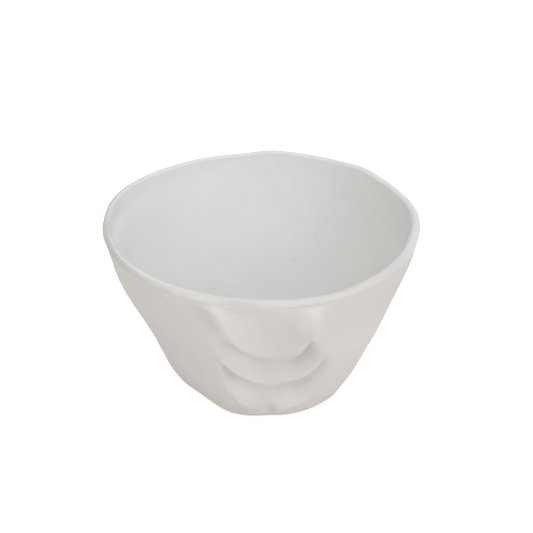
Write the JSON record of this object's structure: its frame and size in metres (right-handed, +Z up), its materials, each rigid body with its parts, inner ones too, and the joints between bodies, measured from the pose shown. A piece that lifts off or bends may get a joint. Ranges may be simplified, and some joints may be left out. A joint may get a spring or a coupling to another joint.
{
  "type": "bowl",
  "caption": "Hand-formed ceramic bowl with flaring walls, a rounded lip, a flat foot and overlapping scoops pressed into one side, for serving or holding small things.",
  "frame": {"origin": "middle of the flat foot, on the surface that the bowl stands on", "axes": "+Z up through the open mouth, -Y towards the pressed scoops, +X to the right of someone who faces them"},
  "size_m": [0.1803, 0.1781, 0.1049],
  "materials": {
    "clay": "matte unglazed white clay",
    "glaze": "satin white glaze"
  },
  "bodies": {
    "root": {"clay_body": "clay", "glaze_lining": "glaze"}
  },
  "joints": []
}
